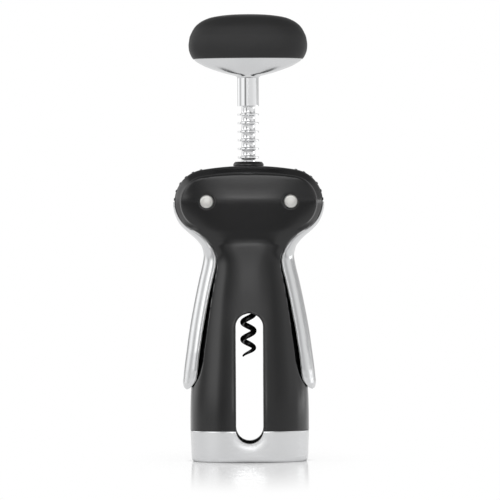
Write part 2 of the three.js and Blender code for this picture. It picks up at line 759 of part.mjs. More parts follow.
function makeKnob() {
  const grip = lofted(knobSections(gripShares, knobHalfWidth, knobHalfDepth, knobSeam, gripHeight, false));
  const insideShares = gripShares.filter((_, i) => i % 2 === 0);
  const room = lofted(knobSections(insideShares, knobHalfWidth - gripWall, knobHalfDepth - gripWall,
    knobSeam - coreFloor, gripHeight - gripWall + coreFloor, false));
  addPart("knob_grip", grip.subtract(room), "softGrip");
  const inset = gripWall + fixedGap;
  const core = lofted(knobSections(insideShares, knobHalfWidth - inset, knobHalfDepth - inset,
    knobSeam, gripHeight - gripWall - fixedGap * 2, false));
  const screwSeat = knobSeam + coreFloor;
  const well = rod(screwHeadRadius + fixedGap, screwSeat, knobTop);
  const coreBore = rod(screwRadius + fixedGap, knobSeam - overrun, screwSeat + overrun, smallSegments);
  addPart("knob_core", less(core, [well, coreBore]), "blackShell");
  const rimHalfWidth = knobHalfWidth * gripShares[0][0] - fixedGap;
  const rimHalfDepth = knobHalfDepth * gripShares[0][0] ** gripFullness - fixedGap;
  const flare = lofted(knobSections(flareShares, rimHalfWidth, rimHalfDepth, stemTop, flareHeight, true));
  const socket = rod(ringRootRadius + fixedGap, stemTop - overrun, stemTop + flareSocketDepth + fixedGap);
  const flareBore = rod(screwRadius + fixedGap, stemTop, knobSeam + overrun, smallSegments);
  addPart("knob_flare", less(flare, [socket, flareBore]), "satinZinc");
  const screwEnd = stemTop + flareSocketDepth - screwLength + fixedGap;
  addPart("knob_screw", turned([[0, screwEnd], [screwRadius, screwEnd], [screwRadius, screwSeat],
    [screwHeadRadius, screwSeat], [screwHeadRadius, screwSeat + screwHeadHeight],
    [0, screwSeat + screwHeadHeight]], smallSegments), "brightSteel");
}

// Foil cutter

function baseSections(inset, bottom, top) {
  return [[baseHalfWidth - baseTaper - inset, baseHalfDepth - baseTaper - inset, baseSquareness, bottom],
    [baseHalfWidth - inset, baseHalfDepth - inset, baseSquareness, top]];
}

// Shares of the base's corner: how far the foot is drawn in, and its height
const footShares = [[0.7, 0], [0.2, 0.3], [0, 1]];

function makeCutterShell() {
  const foot = footShares.map(([inset, up]) => {
    const drawn = baseTaper + baseCorner * inset;
    return [baseHalfWidth - drawn, baseHalfDepth - drawn, baseSquareness, baseCorner * up];
  });
  const outer = lofted(foot.concat([baseSections(0, 0, baseHeight)[1]]));
  const inner = lofted(baseSections(baseWall, baseFloor, baseHeight + overrun));
  const bore = rod(bottleBore + fixedGap, -overrun, baseHeight);
  addPart("foil_cutter_shell", less(outer, [inner, bore, windowCut]), "satinZinc");
}

function wheelPlaces() {
  const away = baseHalfDepth * wheelDepthShare;
  const aside = Math.sqrt((wheelReach + wheelRadius) ** 2 - away ** 2);
  return [[-1, -1], [1, -1], [1, 1], [-1, 1]].map(([x, y]) => [x * aside, y * away]);
}

function makeCutterBody() {
  const inset = baseWall + fixedGap;
  const top = baseHeight - fixedGap;
  const floor = baseFloor + fixedGap;
  const block = lofted(baseSections(inset, floor, top));
  const spigot = rod(bottleBore + spigotWall, top - overrun, top + spigotHeight);
  const bore = rod(bottleBore, -overrun, top + spigotHeight + overrun);
  const pocketHalf = wheelHalfThickness + runningGap;
  const axlePocketHalf = axleHalfLength + fixedGap;
  const pockets = wheelPlaces().flatMap(([x, y]) => [
    rodAt(wheelRadius + runningGap, wheelHeight - pocketHalf, wheelHeight + pocketHalf, x, y),
    rodAt(axleRadius + fixedGap, wheelHeight - axlePocketHalf, wheelHeight + axlePocketHalf, x, y,
      tinySegments),
  ]);
  addPart("foil_cutter_body", less(block.add(spigot), [bore, windowCut, ...pockets]), "blackShell");
}

function makeCutterWheels() {
  wheelPlaces().forEach(([x, y], i) => {
    const bore = axleRadius + runningGap;
    const low = wheelHeight - wheelHalfThickness;
    const high = wheelHeight + wheelHalfThickness;
    const shoulder = wheelRadius * wheelHubShare;
    const wheel = turnedShape([[bore, low], [shoulder, low], [wheelRadius, wheelHeight],
      [shoulder, high], [bore, high], [bore, low]], smallSegments).translate(x, y, 0);
    addPart(`cutter_wheel_${i + 1}`, solidOf(wheel), "brightSteel");
    const axle = rodAt(axleRadius, wheelHeight - axleHalfLength, wheelHeight + axleHalfLength, x, y,
      tinySegments);
    addPart(`wheel_axle_${i + 1}`, axle, "brightSteel");
  });
}

makeHousings();
makeBottleGuide();
makeCollar();
for (const [label, side] of [["left", -1], ["right", 1]]) {
  makeGear(`${label}_gear`, side);
  makeLever(`${label}_lever`, side);
  makePivot(label, side);
}
makeRackRod();
makeWorm();
makeKnob();
makeCutterShell();
makeCutterBody();
makeCutterWheels();

export default corkscrew;
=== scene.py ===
"""Winged corkscrew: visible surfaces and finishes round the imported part, worked out in millimetres."""

import math

import bmesh
import bpy
import numpy as np
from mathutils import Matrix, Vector


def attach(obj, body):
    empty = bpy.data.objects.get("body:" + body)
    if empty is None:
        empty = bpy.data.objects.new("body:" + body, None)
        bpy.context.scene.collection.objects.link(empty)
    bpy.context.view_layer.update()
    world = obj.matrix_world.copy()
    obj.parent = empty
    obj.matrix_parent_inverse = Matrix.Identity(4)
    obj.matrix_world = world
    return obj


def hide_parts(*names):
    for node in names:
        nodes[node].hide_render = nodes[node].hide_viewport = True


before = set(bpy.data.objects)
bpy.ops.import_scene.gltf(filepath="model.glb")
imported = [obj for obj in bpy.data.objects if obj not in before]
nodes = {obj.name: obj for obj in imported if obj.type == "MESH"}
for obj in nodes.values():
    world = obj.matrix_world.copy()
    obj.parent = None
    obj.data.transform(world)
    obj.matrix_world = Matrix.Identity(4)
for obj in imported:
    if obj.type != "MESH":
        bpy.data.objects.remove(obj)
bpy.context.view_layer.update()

MM = 0.001

# All widths and depths are measured from the middle plane, and all radii from their axis. The profile of a
# turned piece is a list of [radius, height].

# Body
BASE_WIDTH = 26.95
BASE_DEPTH = 22.5
BASE_HEIGHT = 14.1
BASE_TAPER = 0.6
BASE_SQUARENESS = 2.6
BASE_INSIDE = 1.2
BASE_CREASE = 40
NOTCH_TOP = 20
NOTCH_REACH = 26
DISH_DEPTH = 0.25
DISH_WIDTH = 2.4
DISH_FROM = 1.0
GUIDE_BORE = 16.05
HEAD_TOP = 133.7
PIVOT_X = 18.93
PIVOT_Z = 117.5
HEAD_RADIUS = 14.65
LEVER_GAP = 0.12
SLOT = 6.4
WINDOW_HALF = 6.25
WINDOW_LOW = 8.2
WINDOW_HIGH = 67.0
ROW_TILT = 0.15
ARCH_MEETS = 122.0
PARTING = 0.06
TRUNK_LEDGE = 1.0
HEAD_LEDGE = 4.0
RIM_THICKNESS = 3.0
FLANK_FROM = 33.5
FLANK_FADE = 2.5
SLOT_FROM = 11
SHELL_CREASE = 38

# Pivot pins and their recesses
RECESS_RADIUS = 3.9
RECESS_SEAT = 12.2
RECESS_LIP = 15.75
RECESS_MOUTH = 1.2
RECESS_END = 17.2
PIN_RADIUS = 3.08
PIN_TOP = 15.04
SHAFT_RADIUS = 2.4
SHAFT_GAP = 0.4

# Lever
LEVER_TIP = 32.5
LEVER_DROP = PIVOT_Z - LEVER_TIP
HUB_WIDTH = 5.65
GEAR_WIDTH = 3.6
GEAR_FLAT = 7.3
HUB_RADIUS = 12.0
GEAR_ROOM_RADIUS = 15.4
GEAR_ROOM_WIDTH = 3.8

# Rod, worm and knob
STEM_RADIUS = 4.85
STEM_TOP = 173.8
STEM_BOTTOM = 160.9
RING_RADIUS = 4.82
RING_ROOT = 3.1
RING_FLAT = 0.42
RING_FOOT = 0.6
RING_PITCH = 3.89
TOP_RING = 157.1
RING_COUNT = 13
ROD_BOTTOM = 103.0
ROD_FOOT = 3.4
ROD_FOOT_HEIGHT = 5.2
WORM_WIRE = 1.25
WORM_RADIUS = 3.75
WORM_PITCH = 7.8
WORM_TIP = 47.45
WORM_PHASE = 1.07 * math.pi
WORM_ASIDE = -0.4
KNOB_WIDTH = 27.0
KNOB_DEPTH = 14.6
KNOB_SEAM = 182.4
KNOB_TOP = 202.7
COLLAR_TOP = 135.7
COLLAR_HOLE = 6.6
COLLAR_HOLE_FROM = 127.6
COLLAR_HOLE_TO = 135.0
FLARE_WIDTH = 24.6
FLARE_NECK = 4.88
FLARE_BULGE = 6.4
FLARE_SQUARENESS = 2.7
STEM_GAP = 0.16
STEM_END = 4.4

# Collar ring
COLLAR = [[5.95, 129.2], [6.5, 129.2], [6.5, 133.85], [7.0, 133.85], [6.9, 134.7], [6.15, COLLAR_TOP],
          [5.2, COLLAR_TOP], [5.15, 134.9], [5.95, 134.9], [5.95, 129.2]]

# Finishes, in metres
GRAIN_DEPTH = 0.00004

# Camera
CAMERA_ASIDE = 0.5
CAMERA_DISTANCE = 1750
CAMERA_HEIGHT = 95.6
CAMERA_ROLL = 0.28
FRAME_WIDTH = 227.3
SENSOR_WIDTH = 36

# Floor, in metres. Each pair is where a passage begins and ends, and the painted contact shadow, where the
# floor's glow fades in round the base, is in shares of the base's width and depth.
FLOOR = [(-4, -4, 0), (4, -4, 0), (4, 6, 0), (-4, 6, 0)]
FLOOR_POLISH = 0.6
FLOOR_GLOW = 0.155
FLOOR_GLOW_MIRRORED = 0.37
PAINTED_CONTACT_SHADOW = (0.93, 1.12)
OVAL = (3.5, 1, 1)
OVAL_EDGE = (0.07, 0.25)
FAR_LEVEL = 1.0
FAR_LEVEL_MIRRORED = 0.95
ZONE_NEAR_EDGE = (-0.38, -0.55)
ZONE_FAR_EDGE = (-1.9, -1.5)
ZONE_LOSS = 0.72

# World: rises over which one part passes into the next, and levels
RING_PASSAGE = (0.05, 0.1)
CEILING_PASSAGE = (0.35, 0.7)
CEILING_LEVEL = 0.22
PLAIN_LIGHT = 0.62
BOX_BLUR = 0.12

# Right lever, inner and outer side: [share of the pivot's distance from the axis, share of the drop to the tip]
INNER = np.array([
    [1.363, 0.151], [1.212, 0.172], [1.088, 0.193], [0.993, 0.215], [0.924, 0.236], [0.866, 0.258],
    [0.824, 0.279], [0.796, 0.3], [0.792, 0.322], [0.825, 0.365], [0.873, 0.407], [0.94, 0.472],
    [1.0, 0.535], [1.053, 0.6], [1.106, 0.664], [1.151, 0.728], [1.196, 0.793], [1.228, 0.856],
    [1.26, 0.92], [1.292, 0.95], [1.352, 0.974], [1.43, 0.992], [1.505, 1.0]])
OUTER = np.array([
    [1.812, 0], [1.813, 0.022], [1.8, 0.044], [1.775, 0.065], [1.738, 0.086], [1.688, 0.108],
    [1.616, 0.129], [1.516, 0.151], [1.403, 0.172], [1.294, 0.193], [1.204, 0.215], [1.136, 0.236],
    [1.107, 0.258], [1.088, 0.279], [1.088, 0.3], [1.104, 0.322], [1.146, 0.365], [1.194, 0.407],
    [1.257, 0.472], [1.315, 0.535], [1.389, 0.621], [1.453, 0.707], [1.506, 0.793], [1.558, 0.878],
    [1.587, 0.942], [1.595, 0.968], [1.57, 0.992], [1.505, 1.0]])

# Arm: [share of the drop to the tip, width]
ARM_WIDTH = np.array([
    [0, 5.65], [0.16, 5.65], [0.25, 7.79], [0.5, 8.55], [0.8, 9.5], [0.9, 9.4], [0.94, 9.1], [0.97, 8.4],
    [0.985, 7.6], [0.995, 6.6], [1, 5.6]])

# Body sections: [height, width, depth, squareness]
SECTIONS = np.array([
    [14.1, 26.95, 22.5, 2.6], [24.0, 26.9, 22.2, 2.6], [33.0, 26.52, 21.6, 2.6], [45.0, 25.35, 20.5, 2.6],
    [60.0, 23.8, 19.0, 2.6], [75.0, 21.4, 17.3, 2.7], [90.0, 18.8, 15.95, 2.8], [97.0, 21.0, 15.24, 3.2],
    [99.5, 24.0, 15.13, 3.25], [101.7, 27.0, 15.22, 3.3], [105.0, 31.0, 15.5, 3.2], [110.0, 35.0, 15.85, 3.0],
    [114.5, 37.0, 16.15, 2.9], [118.0, 37.5, 16.32, 2.9], [121.0, 37.5, 16.2, 2.9], [125.0, 37.5, 15.86, 3.0],
    [129.0, 37.2, 15.37, 3.2], [133.7, 36.6, 14.72, 3.5]])

# Width of the head's sloped band at the base, below the lip, at the lip, twice on the shoulder and at the top
BAND_WIDTH = [2.6, 2.4, 2.3, 2.75, 3.2, 3.75]

# The band: [share of the band's width from the edge in, drop of the face]
BAND_DROP = np.array([
    [0, 4.9], [0.04, 4.3], [0.12, 3.75], [0.25, 3.2], [0.45, 2.6], [0.7, 1.85], [0.86, 1.35], [0.93, 0.85],
    [1.0, 0.32], [1.06, 0.12], [1.14, 0.04], [1.3, 0]])

# Steps across the face near the edge, as shares of the band's width, and near the window, in millimetres
BAND_STEPS = np.array([
    0, 0.01, 0.04, 0.09, 0.16, 0.25, 0.35, 0.46, 0.57, 0.68, 0.78, 0.86, 0.9, 0.93, 0.96, 1, 1.05, 1.12, 1.25,
    1.45, 1.8, 2.2])
WINDOW_STEPS = np.array([0, 0.15, 0.35, 0.7, 1.1, 1.6])

# Flank beside the lever: [height, width of the flank]; bore in the shells: [height, radius]
FLANK = np.array([
    [36, 0.6], [40, 1.6], [45, 2.4], [58, 2.3], [73, 1.7], [82, 1.3], [90, 0.8], [97, 0.5], [104, 0.4]])
BORE = np.array([
    [0, 17.6], [46, 17.6], [50.2, 13.45], [79.3, 13.45], [79.31, 9], [92, 9], [92.01, 5.5], [140, 5.5]])

# Foot of the base: [inset, height]
FOOT = ((1.9, 0), (1.2, 0.03), (0.72, 0.16), (0.38, 0.42), (0.16, 0.8), (0.04, 1.25), (0.0, 1.6))

# Knob: [share of the width, share of the height], grip from the seam up and flare from the stem up
GRIP = np.array([
    [0.918, 0], [0.945, 0.035], [0.965, 0.09], [0.987, 0.162], [0.997, 0.23], [1, 0.3], [0.997, 0.365],
    [0.978, 0.505], [0.956, 0.57], [0.93, 0.64], [0.896, 0.712], [0.847, 0.778], [0.772, 0.848],
    [0.646, 0.92], [0.5, 0.96], [0.347, 0.985], [0.18, 0.997], [0, 1]])
FLARE = np.array([
    [0.2, 0], [0.21, 0.05], [0.232, 0.1], [0.3, 0.16], [0.49, 0.3], [0.646, 0.445], [0.783, 0.59],
    [0.888, 0.745], [0.964, 0.88], [1, 1]])


# Curves and grids

def curve(points, steps):
    """Catmull-Rom curve through the points: each stretch is the cubic whose slope at a point is half the step
    between that point's neighbours."""
    p = np.asarray(points, float)
    p = np.vstack([2 * p[0] - p[1], p, 2 * p[-1] - p[-2]])
    t = np.linspace(0, 1, steps, endpoint=False)[None, :, None]
    a, b, c, d = (q[:, None, :] for q in (p[:-3], p[1:-2], p[2:-1], p[3:]))
    made = 0.5 * (2 * b + (c - a) * t + (2 * a - 5 * b + 4 * c - d) * t**2 + (3 * b - a - 3 * c + d) * t**3)
    return np.vstack([made.reshape(-1, p.shape[1]), p[-2:-1]])


def softened(points, passes):
    """Each inner point moved to the mean of itself and its two neighbours' mean, a number of times."""
    p = points.copy()
    for _ in range(passes):
        p[1:-1] = 0.5 * p[1:-1] + 0.25 * (p[:-2] + p[2:])
    return p


def walk(points):
    """Length of the way along the points up to each."""
    return np.concatenate([[0], np.cumsum(np.linalg.norm(np.diff(points, axis=0), axis=1))])


def tangents(points):
    """Direction of the way at each point, of length 1."""
    ahead = np.gradient(points, axis=0)
    return ahead / np.linalg.norm(ahead, axis=1, keepdims=True)


def evenly(points, count):
    """The same curve at equal steps of its length."""
    length = walk(points)
    at = np.linspace(0, length[-1], count)
    return np.stack([np.interp(at, length, points[:, k]) for k in range(points.shape[1])], 1)


def smooth(share):
    """Soft passage from 0 to 1: 3 times the square less 2 times the cube."""
    return share * share * (3 - 2 * share)


def at_table(place, table):
    """A table's second column at a place in its first, by straight lines."""
    return np.interp(place, table[:, 0], table[:, 1])


def distance_to(x, z, line, at_once=60):
    """Distance from each place to the nearest point of the line, taken a stretch of the line at a time."""
    nearest = np.full(x.shape, np.inf)
    for first in range(0, len(line), at_once):
        part = line[first:first + at_once]
        distance = np.hypot(x[:, :, None] - part[:, 0], z[:, :, None] - part[:, 1])
        nearest = np.minimum(nearest, np.min(distance, 2))
    return nearest


def rounded(profile, radius):
    """The profile with each inner corner replaced by a parabola that starts and ends the radius away from it. A
    support point just outside both its ends keeps the long walls between corners evenly shaded."""
    p = np.asarray(profile, float)
    radii = np.broadcast_to(radius, len(p))
    t = np.linspace(0, 1, 5)[:, None]
    out = [p[:1]]
    for before, corner, after, r in zip(p[:-2], p[1:-1], p[2:], radii[1:-1]):
        back, on = before - corner, after - corner
        start = corner + back * min(0.45, r / max(np.linalg.norm(back), 1e-6))
        end = corner + on * min(0.45, r / max(np.linalg.norm(on), 1e-6))
        bend = (1 - t)**2 * start + 2 * t * (1 - t) * corner + t**2 * end
        gap = np.array([[np.linalg.norm(start - before)], [np.linalg.norm(after - end)]])
        hold = np.minimum(0.3, r / np.maximum(gap, 1e-6)) * np.array([before - start, after - end])
        out += [(start + hold[0])[None], bend, (end + hold[1])[None]]
    return np.vstack(out + [p[-1:]])


def quads(rows, columns, closed):
    """Corner numbers of the quads of a grid, joined round its columns where closed."""
    last = columns if closed else columns - 1
    r, c = (k.ravel() for k in np.meshgrid(np.arange(rows - 1), np.arange(last), indexing="ij"))
    n = (c + 1) % columns
    return np.stack([r * columns + c, r * columns + n, (r + 1) * columns + n, (r + 1) * columns + c], 1)


def surface(points, closed=False):
    """A grid of points, rows by columns by 3, as one patch: its points and its quads."""
    rows, columns = points.shape[:2]
    return points.reshape(-1, 3), quads(rows, columns, closed)


def capped(grid):
    """A grid closed round its columns, with its first and last rows filled."""
    points, faces = surface(grid, closed=True)
    columns = grid.shape[1]
    last = len(points) - columns
    return points, faces.tolist() + [list(range(columns))[::-1], list(range(last, len(points)))]


def turned(profile, segments=96):
    """Surface of revolution: radius times cosine and sine of the angle, height kept."""
    p = np.asarray(profile, float)
    angle = np.linspace(0, 2 * math.pi, segments, endpoint=False)
    x = p[:, :1] * np.cos(angle)
    y = p[:, :1] * np.sin(angle)
    z = np.broadcast_to(p[:, 1:2], x.shape)
    return surface(np.stack([x, y, z], 2), closed=True)


def along_y(patch, x, z, way):
    """A patch turned about Z laid on an axis along Y; way 1 sends its height to the rear, -1 to the front."""
    p, faces = patch
    return np.stack([p[:, 0] + x, way * p[:, 2], p[:, 1] + z], 1), faces


def superellipse(a, b, n, angle):
    """Points where |x/a| to the n plus |y/b| to the n is 1: signed powers 2/n of cosine and sine."""
    c, s = np.cos(angle), np.sin(angle)
    x = a * np.sign(c) * np.abs(c)**(2 / n)
    y = b * np.sign(s) * np.abs(s)**(2 / n)
    return x, y


def lofted(rows, segments):
    """Superellipse sections [width, depth, squareness, height] joined from row to row."""
    a, b, n, z = (np.asarray(rows, float)[:, k:k + 1] for k in range(4))
    angle = np.linspace(0, 2 * math.pi, segments, endpoint=False)[None, :]
    x, y = superellipse(a, b, n, angle)
    return surface(np.stack([x, y, np.broadcast_to(z, x.shape)], 2), closed=True)


def tube(path, radii, sides):
    """Circles of the given radii set square to the path, their start carried along it without twist."""
    up = np.array([1.0, 0, 0])
    angle = np.linspace(0, 2 * math.pi, sides, endpoint=False)
    rings = []
    for point, way, radius in zip(path, tangents(path), radii):
        up = up - way * up.dot(way)
        up /= np.linalg.norm(up)
        aside = np.cross(way, up)
        rings.append(point + radius * (np.outer(np.cos(angle), up) + np.outer(np.sin(angle), aside)))
    return capped(np.array(rings))


def plate(outline, near, far, edge=0.25):
    """A flat outline of x and z run along Y from near to far, its rims pulled in by the edge."""
    p = np.asarray(outline, float)
    middle = p.mean(0)
    inward = (middle - p) / np.linalg.norm(middle - p, axis=1, keepdims=True)
    rows = []
    for y, pull in ((near, edge), (near + edge, 0), (far - edge, 0), (far, edge)):
        q = p + inward * pull
        rows.append(np.stack([q[:, 0], np.full(len(q), y), q[:, 1]], 1))
    return capped(np.array(rows))


def mesh_of(name, patches, crease=32):
    """One smooth mesh in metres from patches in millimetres, welded, with its faces turned outwards and its
    edges sharper than the crease angle kept sharp."""
    points, faces, start = [], [], 0
    for p, f in patches:
        points.append(p)
        faces.extend([[int(k) + start for k in face] for face in f])
        start += len(p)
    mesh = bpy.data.meshes.new(name)
    mesh.from_pydata((np.vstack(points) * MM).tolist(), [], faces)
    work = bmesh.new()
    work.from_mesh(mesh)
    bmesh.ops.remove_doubles(work, verts=work.verts, dist=2e-6)
    bmesh.ops.dissolve_degenerate(work, edges=work.edges, dist=1e-7)
    bmesh.ops.recalc_face_normals(work, faces=work.faces)
    work.to_mesh(mesh)
    work.free()
    mesh.polygons.foreach_set("use_smooth", np.ones(len(mesh.polygons), bool))
    mesh.set_sharp_from_angle(angle=math.radians(crease))
    return mesh


def piece(name, patches, material, body, replaced, crease=32):
    """One finished piece: its mesh, its material, the body it rides on and the nodes that it stands for."""
    thing = bpy.data.objects.new(name, mesh_of(name, patches, crease))
    bpy.context.scene.collection.objects.link(thing)
    thing.data.materials.append(material)
    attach(thing, body)
    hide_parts(*replaced)
    return thing


def cut(thing, patches, crease):
    """Takes the closed patches out of the piece."""
    cutter = bpy.data.objects.new("cutter", mesh_of("cutter", patches))
    bpy.context.scene.collection.objects.link(cutter)
    step = thing.modifiers.new("cut", "BOOLEAN")
    step.object = cutter
    step.operation = "DIFFERENCE"
    step.solver = "EXACT"
    step.use_self = False
    bpy.context.view_layer.update()
    made = bpy.data.meshes.new_from_object(thing.evaluated_get(bpy.context.evaluated_depsgraph_get()))
    thing.modifiers.clear()
    old = thing.data
    made.name = old.name
    thing.data = made
    bpy.data.meshes.remove(old)
    bpy.data.objects.remove(cutter)
    thing.data.set_sharp_from_angle(angle=math.radians(crease))


def mirrored(patch):
    """The same patch on the other side of the middle plane."""
    p, faces = patch
    return p * np.array([-1.0, 1.0, 1.0]), faces


# Nodes

def feed(tree, given, values):
    """Sets a node's inputs, by name or number, or links them where the value is another node's output."""
    for name, value in values.items():
        if isinstance(value, bpy.types.NodeSocket):
            tree.links.new(value, given.inputs[name])
        else:
            given.inputs[name].default_value = value


def node(tree, kind, values):
    """A new node with its inputs set."""
    made = tree.nodes.new("ShaderNode" + kind)
    feed(tree, made, values)
    return made


def maths(tree, operation, *values):
    """What a math node makes of numbers and other nodes' outputs."""
    made = tree.nodes.new("ShaderNodeMath")
    made.operation = operation
    feed(tree, made, dict(enumerate(values)))
    return made.outputs[0]


def ranged(tree, source, low, high, start=0.0, end=1.0, way="LINEAR"):
    """Start where the source is low or less, end where it is high or more, and a passage between them."""
    limits = {"From Min": low, "From Max": high, "To Min": start, "To Max": end}
    made = node(tree, "MapRange", {"Value": source, **limits})
    made.interpolation_type = way
    return made.outputs["Result"]


def eased(tree, source, low, high, start=0.0, end=1.0):
    """The same with a passage that starts and ends softly."""
    return ranged(tree, source, low, high, start, end, "SMOOTHSTEP")


def blended(tree, factor, first, second):
    """The first colour passing into the second with the factor."""
    made = tree.nodes.new("ShaderNodeMix")
    made.data_type = "RGBA"
    feed(tree, made, {"Factor": factor, "A": first, "B": second})
    return made.outputs["Result"]


# Finishes

def grain_group():
    """Fine surface grain and slow change of tone, both from noise on object coordinates. Height is the fine
    noise and Tone the slow one, each from 0 to 1."""
    group = bpy.data.node_groups.new("surface grain", "ShaderNodeTree")
    for name, value in (("Grain Scale", 2500), ("Tone Scale", 60)):
        made = group.interface.new_socket(name=name, in_out="INPUT", socket_type="NodeSocketFloat")
        made.default_value = value
    for name in ("Height", "Tone"):
        group.interface.new_socket(name=name, in_out="OUTPUT", socket_type="NodeSocketFloat")
    given, made = group.nodes.new("NodeGroupInput"), group.nodes.new("NodeGroupOutput")
    place = group.nodes.new("ShaderNodeTexCoord").outputs["Object"]
    for name, scale, detail in (("Height", "Grain Scale", 3), ("Tone", "Tone Scale", 4)):
        noise = node(group, "TexNoise", {"Vector": place, "Scale": given.outputs[scale], "Detail": detail})
        group.links.new(noise.outputs["Fac"], made.inputs[name])
    return group


GRAIN = grain_group()


def finish(name, dark, light, rough, metallic=0.0, grain=2500, tone=60, bump=0.15, sheen=0.0):
    """A Principled surface whose colour runs from dark to light, and its roughness over its range, with the slow
    tone, and whose bump comes from the fine grain."""
    material = bpy.data.materials.new(name)
    material.use_nodes = True
    tree = material.node_tree
    group = tree.nodes.new("ShaderNodeGroup")
    group.node_tree = GRAIN
    feed(tree, group, {"Grain Scale": grain, "Tone Scale": tone})
    shade = group.outputs["Tone"]
    relief = node(tree, "Bump", {"Strength": bump, "Distance": GRAIN_DEPTH, "Height": group.outputs["Height"]})
    feed(tree, tree.nodes["Principled BSDF"], {
        "Base Color": blended(tree, shade, (*dark, 1), (*light, 1)),
        "Roughness": ranged(tree, shade, 0, 1, *rough),
        "Metallic": metallic, "Sheen Weight": sheen, "Sheen Roughness": 0.4,
        "Normal": relief.outputs["Normal"]})
    return material


BLACK_SHELL = finish("black shell", (0.0046, 0.0046, 0.005), (0.0068, 0.0068, 0.0072), (0.17, 0.22),
                     grain=5200, bump=0.12)
SOFT_GRIP = finish("soft grip", (0.009, 0.009, 0.0095), (0.014, 0.014, 0.0145), (0.5, 0.58),
                   grain=3800, bump=0.25, sheen=0.03)
SATIN_ZINC = finish("satin zinc", (0.625, 0.63, 0.64), (0.705, 0.71, 0.715), (0.2, 0.26), 1.0,
                    grain=3000, tone=45, bump=0.06)
CHROME = finish("chrome", (0.8, 0.805, 0.815), (0.86, 0.865, 0.87), (0.05, 0.08), 1.0,
                grain=2200, tone=70, bump=0.008)
BRIGHT_STEEL = finish("bright steel", (0.62, 0.615, 0.59), (0.78, 0.775, 0.75), (0.36, 0.46), 1.0,
                      grain=2600, tone=500, bump=0.2)
DARK_STEEL = finish("dark steel", (0.03, 0.03, 0.032), (0.06, 0.06, 0.062), (0.3, 0.45), 0.7,
                    grain=1800, tone=200, bump=0.25)
WORM_COAT = finish("worm coat", (0.006, 0.006, 0.006), (0.012, 0.012, 0.012), (0.2, 0.32),
                   grain=1500, tone=150, bump=0.2)
WHITE_NYLON = finish("white nylon", (0.66, 0.65, 0.61), (0.74, 0.73, 0.69), (0.4, 0.5), grain=2400, bump=0.1)


# Body shells

HEIGHT_ROWS = curve(SECTIONS, 8)


def section_at(z):
    """Width, depth and squareness of the body at a height, by lines between the curve's points."""
    return [np.interp(z, HEIGHT_ROWS[:, 0], HEIGHT_ROWS[:, k]) for k in (1, 2, 3)]


def depth_at(x, z):
    """Depth of the body's face, b times (1 - |x/a| to the n) to the 1/n, for width a, depth b, squareness n."""
    a, b, n = section_at(z)
    return b * np.clip(1 - np.abs(x / a)**n, 0, 1)**(1 / n)


def lever_side(table):
    """A lever side's shares as places in x and z, smoothed."""
    places = np.stack([PIVOT_X * table[:, 0], PIVOT_Z - LEVER_DROP * table[:, 1]], 1)
    return softened(curve(places, 8), 6)


def arc(cx, cz, radius, start, end, count):
    """Points on a circle from one angle to another."""
    angle = np.linspace(start, end, count)
    return np.stack([cx + radius * np.cos(angle), cz + radius * np.sin(angle)], 1)


INNER_SIDE = lever_side(INNER)
OUTER_SIDE = lever_side(OUTER)
LIP = INNER_SIDE[0] - np.array([PIVOT_X, PIVOT_Z])
LIP_ANGLE = math.atan2(LIP[1], LIP[0])
RISE = HEAD_TOP - PIVOT_Z
ARCH_RADIUS = (PIVOT_X**2 + RISE**2 - HEAD_RADIUS**2) / (2 * (RISE - HEAD_RADIUS))
TANGENT = math.atan2(ARCH_RADIUS - RISE, PIVOT_X)


def body_edge():
    """Right edge of the body's face from the base up to the middle of the head's top, in its stretches: side,
    lever recess, shoulder and arch."""
    inward = INNER_SIDE[::-1]
    along = tangents(inward)
    recess = inward + LEVER_GAP * np.stack([-along[:, 1], along[:, 0]], 1)
    width = section_at(recess[:, 1])[0]
    recess = recess[recess[:, 0] < width - 0.02]
    foot = recess[0, 1]
    low = np.linspace(BASE_HEIGHT + 0.15, foot - 0.05, 22)
    side = np.stack([section_at(low)[0], low], 1)
    first = np.array([[section_at(foot)[0], foot]])
    shoulder = arc(PIVOT_X, PIVOT_Z, HEAD_RADIUS, LIP_ANGLE, TANGENT, 84)
    arch = arc(0, HEAD_TOP - ARCH_RADIUS, ARCH_RADIUS, TANGENT, math.pi / 2, 34)
    return [side, np.vstack([first, evenly(recess, 130)]), shoulder[1:], arch[1:]]


def shell_grid(edge, start, walked, lip):
    """Places across each row: set distances from the window, even steps over the middle, then set shares of the
    band's width from the edge. The band is measured square to the edge, so a row that meets it aslant stretches
    them, though not well below the lip. Returns the places, their distances from the row's start, the rows'
    lengths and the band's width."""
    along = tangents(edge)
    line = start - edge
    length = np.linalg.norm(line, axis=1)
    line /= length[:, None]
    facing = np.clip(np.abs(-along[:, 1] * line[:, 0] + along[:, 0] * line[:, 1]), 0.6, 1)
    facing[:lip - 70] = 1.0
    facing = softened(facing, 60)
    band = np.interp(walked, walked[[0, lip - 45, lip, lip + 28, lip + 60, len(edge) - 1]], BAND_WIDTH)
    outer = band[:, None] * BAND_STEPS / facing[:, None]
    reach = np.minimum(outer[:, -1], 0.8 * length)
    outer *= (reach / outer[:, -1])[:, None]
    from_edge = length[:, None] - WINDOW_STEPS
    rest = np.linspace(0, 1, 14)[1:-1]
    between = from_edge[:, -1:] + (reach[:, None] - from_edge[:, -1:]) * rest
    away = np.hstack([from_edge, between, outer[:, ::-1]])
    place = edge[:, None, :] + line[:, None, :] * away[:, :, None]
    return place[:, :, 0], place[:, :, 1], length[:, None] - away, length, band[:, None]


